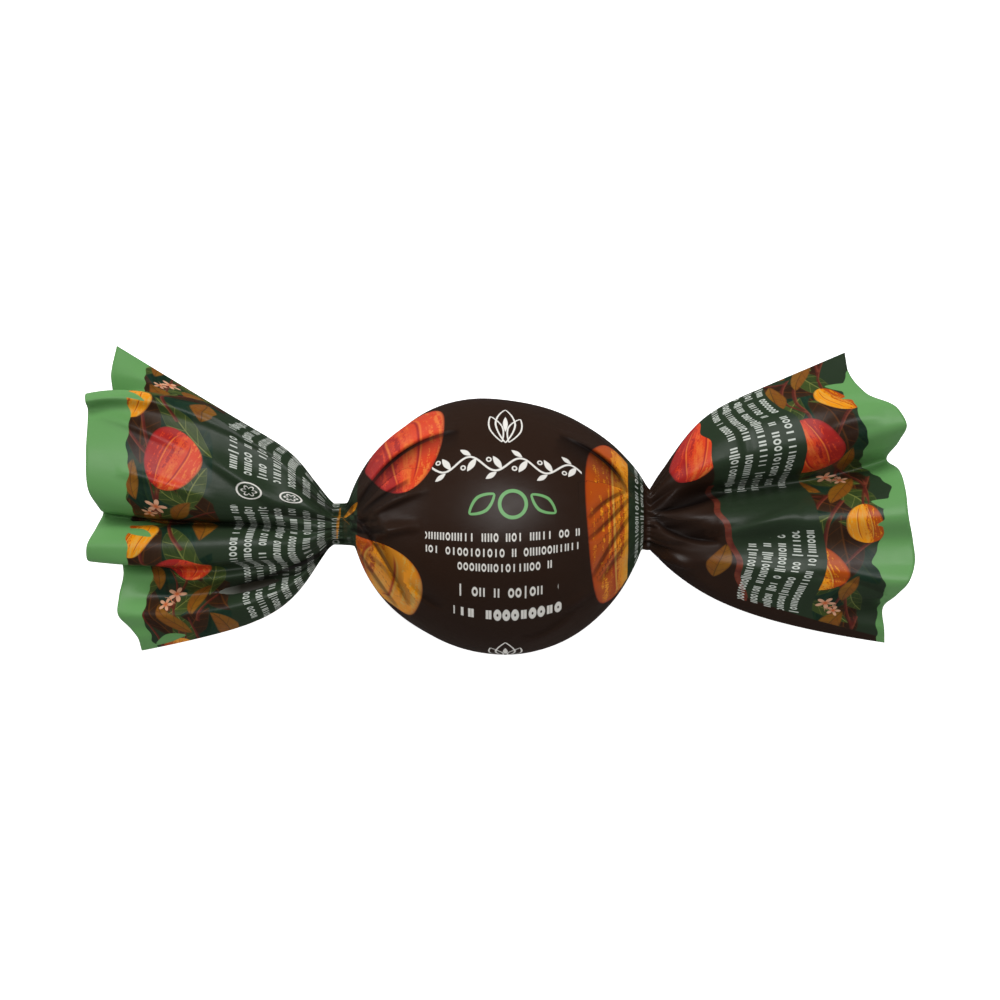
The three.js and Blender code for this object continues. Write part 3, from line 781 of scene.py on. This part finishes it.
# Ground: a brown panel over the truffle, which runs on to the right as far as a stem that trims it,
# and night green beyond. A narrow brown hem follows the low edge of the right fan.
PANEL_LEFT, PANEL_RIGHT = -17.8, 17.5
BROWN_START, BROWN_REACH = HALF_BODY - 0.9, HALF_BODY + 7.3
HEM_ROUND, HEM_HALF, HEM_NARROWS, HEM_END = -25.6, 5.0, HALF_BODY + 14.0, HALF_BODY + 27.0
TRIM_ROUND, TRIM_LONG, TRIM_HALF = -7.0, 14.0, 0.34

on_body = higher(less(PANEL_LEFT, place_along), less(place_along, PANEL_RIGHT))
fan_start = less(BROWN_START, place_along)
slope = calc("POWER", scaled(place_round, -0.04, 0.2, clamp=True), 1.6)
wave = calc("SINE", times(place_round, 0.9))
fan_end = less(place_along, scaled(slope, 4.0, scaled(wave, 0.22, BROWN_REACH)))
hem = less(size_of(less(place_round, HEM_ROUND)), HEM_HALF)
hem = scaled(less(place_along, HEM_NARROWS), 0.2, hem)
hem_end = higher(higher(hem, fan_start), less(place_along, HEM_END))
on_fan = higher(fan_start, lower(fan_end, hem_end))
colour = over("night_green", "brown", within(lower(on_body, on_fan), 0.08))
trim = both(line_at(less(fan_end, 0.1), TRIM_HALF), line_at(less(place_round, TRIM_ROUND), TRIM_LONG))
colour = over(colour, over("stem_light", "stem", mottle), trim)

# Fine print: a mark's half height and what a tall one has more, as shares of its row's height, then
# the draws from which a mark is tall, a pair of bars, a bead or left out.
MARK_HALF, TALL_MORE = 0.34, 0.14
TALL_FROM, PAIR_FROM, BEAD_FROM, GAP_FROM = 0.78, 0.45, 0.6, 0.88


def fine_row(off_row, row, lengthways, height, cell, wider=1.0, weight=0.08):
    """A row of bars and beads of uneven height, in short groups. Weight is half a stroke's width;
    wider stretches the marks along the row."""
    cell = times(wider, cell)
    stroke = times(wider, weight)
    cell_place = per(lengthways, cell)
    luck = nodes.new("ShaderNodeTexWhiteNoise")
    luck.noise_dimensions = "2D"
    links.new(point(calc("FLOOR", cell_place), row), luck.inputs["Vector"])
    chance = nodes.new("ShaderNodeSeparateColor")
    links.new(luck.outputs["Color"], chance.inputs[0])
    off_cell = times(less(calc("FRACT", cell_place), 0.5), cell)
    half = times(cell, 0.5)
    is_tall = calc("GREATER_THAN", chance.outputs[0], TALL_FROM)
    tall = scaled(is_tall, TALL_MORE * height, MARK_HALF * height)
    off_bar = size_of(off_row)
    paired = calc("GREATER_THAN", chance.outputs[2], PAIR_FROM)
    spread = times(paired, scaled(stroke, -2.2, half))
    bars = per(less(size_of(off_cell), spread), wider)
    bar = both(line_at(bars, weight, 0.05), within(less(off_bar, tall), 0.05))
    across = per(off_cell, less(half, stroke))
    high = per(off_bar, MARK_HALF * height)
    ring = less(radius_of(across, high), 0.8)
    bead = line_at(ring, 3.2 * weight, 0.15)
    is_bead = calc("GREATER_THAN", chance.outputs[1], BEAD_FROM)
    filled = calc("LESS_THAN", luck.outputs["Value"], GAP_FROM)
    mark = scaled(is_bead, less(bead, bar), bar)
    return both(mark, filled)


GATHERED_WIDER, GATHERED_FADE = 3.6, 0.4


def fine_rows(across, lengthways, pitch, height, cell, gathered=False):
    """Even rows. The gathered film by a twist shows fewer marks, each wider on the film itself."""
    row_place = per(across, pitch)
    row = calc("FLOOR", row_place)
    off_row = times(less(calc("FRACT", row_place), 0.5), pitch)
    wider = 1.0
    if gathered:
        row_along = size_of(scaled(row, pitch, 0.5 * pitch))
        from_twist = size_of(less(row_along, HALF_BODY))
        wider = scaled(calc("EXPONENT", times(from_twist, -GATHERED_FADE)), GATHERED_WIDER, 1.0)
    return fine_row(off_row, row, lengthways, height, cell, wider)


def patch(along_start, along_end, round_start, round_end):
    """1 within a piece of the film given by its four borders."""
    a = less(place_along, 0.5 * (along_start + along_end))
    r = less(place_round, 0.5 * (round_start + round_end))
    half_along, half_round = 0.5 * abs(along_end - along_start), 0.5 * abs(round_end - round_start)
    return both(line_at(a, half_along), line_at(r, half_round))


def rows_zone(pitch, pieces):
    """1 within pieces of the film that whole rows cover: first and last row, from and to round."""
    zone = 0.0
    for first, last, round_start, round_end in pieces:
        zone = higher(zone, patch(first * pitch, last * pitch, round_start, round_end))
    return zone


LEFT_PITCH, RIGHT_PITCH = 1.6, 1.56
PRINT_COVER = 0.9
left_rows = fine_rows(place_along, place_round, LEFT_PITCH, 1.2, 0.62, gathered=True)
left_zone = rows_zone(LEFT_PITCH, [(-22, -14, 10.0, 34), (-22, -14, -40, 4.6), (-13, -12, -30, -9)])
left_cover = lower(scaled(plus(place_along, HALF_BODY), -0.09, 0.36, clamp=True), 0.85)
colour = over(colour, "fine_print", both(left_rows, both(left_zone, left_cover)))
right_rows = fine_rows(place_along, place_round, RIGHT_PITCH, 1.18, 0.66, gathered=True)
LOW_BLOCK_SLANT, LOW_BLOCK_START = 0.4, -13.2
low_block = plus(place_round, LOW_BLOCK_SLANT * HALF_BODY - LOW_BLOCK_START)
low_block = within(scaled(place_along, -LOW_BLOCK_SLANT, low_block))
low_block = both(low_block, rows_zone(RIGHT_PITCH, [(21, 26, -21.0, 0.0)]))
right_zone = higher(low_block, rows_zone(RIGHT_PITCH, [(20, 25, 3.6, 34), (12, 14, -40, 30)]))
colour = over(colour, "fine_print", both(right_rows, both(right_zone, PRINT_COVER)))


def add_stems(colour):
    """Stems that thin out towards one end, lit along one side."""
    outside, p, q = film_values("stem")
    room = less(scaled(p, -0.3, 0.7), size_of(q))
    cover = both(within(outside, 0.4), both(scaled(room, 5.0, 0.5, clamp=True), line_at(p, 1.0, 0.02)))
    return over(colour, over("stem", "stem_light", scaled(q, 2.0, 0.0, clamp=True)), cover)


# The garland and the fruit. They end where the fine print begins: on the left fan, on the right fan
# along a slant, and beside the right twist.
plain = colour
colour = add_leaves(colour, "shade", "shade_light", "shade", "leaf_dark", 0.5, 0.2)
colour = add_leaves(colour, "brown", "bark", "bark_dark", "amber_dark", 0.32, 0.5)
colour = add_leaves(colour, "leaf", "leaf", "leaf_dark", "leaf_vein", 0.75, 0.6)
colour = add_stems(colour)
colour = add_leaves(colour, "amber", "amber", "amber_dark", "amber_vein", 0.7, 0.5)
colour = add_fruit(colour, "gold", "gold", "gold_dark", "gold_light")
colour = add_fruit(colour, "red", "red", "red_dark", "red_light")
colour = over(colour, "border", within(film_values("border")[0]))
colour = add_blossoms(colour)

LEFT_PRINT_MIDDLE, LEFT_PRINT_HALF = -HALF_BODY - 4.9, 9.3
RIGHT_PRINT_END, RIGHT_PRINT_SLANT = HALF_BODY + 18.1, 0.07
TWIST_PRINT_MIDDLE, TWIST_PRINT_HALF = HALF_BODY - 1.2, 3.75

left_print = less(size_of(less(place_along, LEFT_PRINT_MIDDLE)), LEFT_PRINT_HALF)
right_print = less(scaled(place_round, RIGHT_PRINT_SLANT, place_along), RIGHT_PRINT_END)
right_print = higher(right_print, times(fan_end, -1.0))
twist_print = less(size_of(less(place_along, TWIST_PRINT_MIDDLE)), TWIST_PRINT_HALF)
bare = lower(lower(left_print, right_print), lower(twist_print, hem_end))
bare = higher(bare, less(PANEL_RIGHT, size_of(place_along)))
colour = over(colour, plain, within(bare))
colour = add_leaves(colour, "sliver", "gold", "amber", "gold_dark", 0.3, 0.1, 1.0)

# The panel over the truffle: a bud, a vine, a ring between two leaves, and rows of bars and beads.
PANEL_ALONG = 1.7


def from_centre(centre_along, centre_round):
    return less(place_along, centre_along), less(place_round, centre_round)


def turned_leaf(x, y, turn, length, width):
    """Room left to the edge of a leaf that is centred on x = y = 0."""
    c, s = float(np.cos(np.radians(turn))), float(np.sin(np.radians(turn)))
    p = scaled(x, 2 * c / length, times(y, 2 * s / length))
    q = scaled(y, 2 * c / width, times(x, -2 * s / width))
    return times(leaf_room(p, q), 0.5 * width)


def bud(centre_along, centre_round, length):
    """A bud between two sepals, in outline."""
    x, y = from_centre(centre_along, centre_round)
    cover = line_at(turned_leaf(x, y, 90, length, 0.36 * length), 0.1)
    heart = within(times(turned_leaf(x, y, 90, 0.45 * length, 0.09 * length), -1.0))
    for side in (-1, 1):
        lean = plus(x, side * 0.17 * length)
        sepal_y = plus(y, 0.14 * length)
        sepal = turned_leaf(lean, sepal_y, 90 + side * 17, 0.72 * length, 0.24 * length)
        cover = higher(cover, line_at(sepal, 0.09))
    return higher(cover, heart)


def star_ring(centre_along, centre_round, size):
    """A six-pointed star within a ring."""
    x, y = from_centre(centre_along, centre_round)
    radius = radius_of(x, y)
    bearing = times(calc("ARCTAN2", y, x), 3.0)
    rim = scaled(size_of(calc("COSINE", bearing)), 0.3 * size, 0.26 * size)
    star = line_at(less(radius, rim), 0.09)
    return higher(star, line_at(less(radius, 0.9 * size), 0.1))


VINE_ROUND, VINE_WAVE, VINE_HIGH, VINE_HALF = 7.4, 2.9, 0.85, 8.7


def vine():
    """A wavy stem with two leaves and a berry in each of its bays."""
    x, y = from_centre(PANEL_ALONG, VINE_ROUND)
    turns = per(x, VINE_WAVE)
    phase = times(turns, PI)
    steepness = times(calc("COSINE", phase), VINE_HIGH * PI / VINE_WAVE)
    off_stem = scaled(calc("SINE", phase), -VINE_HIGH, y)
    off_stem = per(off_stem, calc("SQRT", scaled(steepness, steepness, 1.0)))
    above_or_below = scaled(calc("FLOORED_MODULO", calc("FLOOR", turns), 2.0), -2.0, 1.0)
    bay_x = times(less(calc("FRACT", turns), 0.5), VINE_WAVE)
    bay_y = times(y, above_or_below)
    inner_leaf = turned_leaf(less(bay_x, 0.25), plus(bay_y, 0.15), 58, 1.9, 0.72)
    outer_leaf = turned_leaf(plus(bay_x, 0.45), less(bay_y, 1.45), -35, 1.5, 0.6)
    leaves = higher(within(times(inner_leaf, -1.0)), within(times(outer_leaf, -1.0)))
    berry = line_at(less(radius_of(plus(bay_x, 0.72), plus(bay_y, 0.5)), 0.24), 0.08)
    return both(higher(higher(line_at(off_stem, 0.12), leaves), berry), line_at(x, VINE_HALF))


def ring_between_leaves(centre_along, centre_round):
    x, y = from_centre(centre_along, centre_round)
    ring = line_at(less(radius_of(x, y), 1.5), 0.2)
    left_leaf = turned_leaf(plus(x, 3.5), y, 38, 3.6, 1.7)
    right_leaf = turned_leaf(less(x, 3.5), y, -38, 3.6, 1.7)
    return higher(ring, higher(line_at(left_leaf, 0.17), line_at(right_leaf, 0.17)))


cream = vine()
for shape in (
        bud(1.4, 13.4, 6.2), bud(1.4, -18.9, 6.2),
        star_ring(-HALF_BODY - 10.2, 7.4, 1.5), star_ring(-HALF_BODY - 5.6, 7.4, 1.3)):
    cream = higher(cream, shape)
panel_rows = fine_rows(plus(place_round, 1.86), place_along, 1.72, 1.35, 0.68)
text_block = higher(patch(-7.8, 11.1, -3.6, -0.1), patch(-4.0, 7.5, -5.3, -3.6))
cream = higher(cream, both(panel_rows, text_block))
# Two rows of larger marks: place round, height, cell, weight and half length.
for row_round, row_height, row_cell, row_weight, row_half in (
        (-7.5, 1.7, 0.82, 0.09, 5.8), (-10.6, 2.0, 1.0, 0.15, 6.2)):
    row = fine_row(
        less(place_round, row_round), row_round, place_along, row_height, row_cell, 1.0, row_weight)
    cream = higher(cream, both(row, line_at(less(place_along, PANEL_ALONG), row_half)))
colour = over(colour, "cream", both(cream, PRINT_COVER))
colour = over(colour, "panel_green", ring_between_leaves(2.25, 2.7))

# The foot of each crease lies in its own narrow shadow.
off_line, darkness, reach = film_values("crease")
core = less(1.9, times(size_of(off_line), 6.0), clamp=True)
one_sided = higher(off_line, times(off_line, -4.0))
veil = less(1.0, per(one_sided, higher(reach, 0.3)), clamp=True)
veil = times(calc("POWER", veil, 1.4), 0.9)
shadow = both(higher(core, veil), darkness)
colour = over(colour, "crease_shadow", both(shadow, 0.97))

# The inner face is plain and pale, with painted shade deep in the pouch where it closes.
past_edge = less(size_of(place_along), EDGE)
inner = over("inside", "pouch_painted_shade", scaled(past_edge, 0.14, -1.1, clamp=True))
colour = over(inner, colour, within(past_edge))

# The film is satin, and duller along its creases.
DULLEST_CREASE, SATIN, SATIN_MOTTLE = 0.34, 0.34, 0.06
surface = nodes.new("ShaderNodeBsdfPrincipled")
feed(surface.inputs["Base Color"], colour)
near_crease = less(1.8, size_of(off_line), clamp=True)
dull = scaled(both(near_crease, both(darkness, darkness)), DULLEST_CREASE, SATIN)
feed(surface.inputs["Roughness"], scaled(mottle, SATIN_MOTTLE, dull))
surface.inputs["Specular IOR Level"].default_value = 0.3
wrinkle = nodes.new("ShaderNodeBump")
wrinkle.inputs["Strength"].default_value = 0.2
wrinkle.inputs["Distance"].default_value = 0.0001
stretched = point(times(place_along, 0.5), times(place_round, 1.2))
links.new(noise(stretched, 0.6, 3.0), wrinkle.inputs["Height"])
links.new(wrinkle.outputs[0], surface.inputs["Normal"])
output = nodes.new("ShaderNodeOutputMaterial")
links.new(surface.outputs[0], output.inputs[0])

film_mesh.materials.append(material)
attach(film, "root")
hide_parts("wrapped_truffle")

# ==============================================================================
# The surroundings: a plain pale table, soft studio light and a camera that looks straight down.
# ==============================================================================
HALF_TABLE = 1.5
table_mesh = bpy.data.meshes.new("table")
table_mesh.from_pydata(
    [(HALF_TABLE * x, HALF_TABLE * y, 0) for x, y in ((-1, -1), (1, -1), (1, 1), (-1, 1))],
    [], [(0, 1, 2, 3)])
table = bpy.data.objects.new("table", table_mesh)
bpy.context.collection.objects.link(table)
table_material = bpy.data.materials.new("pale_table")
table_material.use_nodes = True
table_surface = table_material.node_tree.nodes["Principled BSDF"]
for socket, value in (
        ("Base Color", (0.9, 0.9, 0.9, 1)), ("Roughness", 0.9), ("Specular IOR Level", 0.1),
        ("Emission Color", (1, 1, 1, 1)), ("Emission Strength", 0.9)):
    table_surface.inputs[socket].default_value = value
table_mesh.materials.append(table_material)
table.visible_glossy = False


def softbox(name, place, size, power, mirrored=False):
    """A round lamp that points at the wrapper; the satin film mirrors only some of them."""
    light = bpy.data.lights.new(name, "AREA")
    light.shape = "DISK"
    light.size = size
    light.energy = power
    lamp = bpy.data.objects.new(name, light)
    lamp.location = place
    aim = Vector((0, 0, TWIST_HEIGHT * MM)) - Vector(place)
    lamp.rotation_euler = aim.to_track_quat("-Z", "Y").to_euler()
    lamp.visible_glossy = mirrored
    bpy.context.collection.objects.link(lamp)


softbox("key", (0.085, 0.215, 0.72), 0.4, 2.05, mirrored=True)
softbox("top", (-0.1, 0.72, 0.6), 0.5, 5.0)
softbox("left", (-0.78, 0.2, 0.5), 0.5, 1.4)
softbox("left glint", (-0.85, 0.25, 0.35), 0.3, 1.0, mirrored=True)
softbox("right", (0.74, -0.1, 0.5), 0.4, 1.4)
softbox("low", (0.05, -0.75, 0.55), 0.5, 1.0)

world = bpy.data.worlds.new("studio")
world.use_nodes = True
world.node_tree.nodes["Background"].inputs[0].default_value = (1, 1, 1, 1)
world.node_tree.nodes["Background"].inputs[1].default_value = 0.05
bpy.context.scene.world = world

FRAME_WIDTH = 0.116  # what the picture's width spans at the sweet's middle height
LENS, SENSOR = 120, 36
camera_data = bpy.data.cameras.new("camera")
camera_data.lens = LENS
camera_data.sensor_width = SENSOR
camera = bpy.data.objects.new("camera", camera_data)
camera.location = (0, 0, TWIST_HEIGHT * MM + FRAME_WIDTH * LENS / SENSOR)
bpy.context.collection.objects.link(camera)
bpy.context.scene.camera = camera
bpy.context.scene.view_settings.view_transform = "Standard"
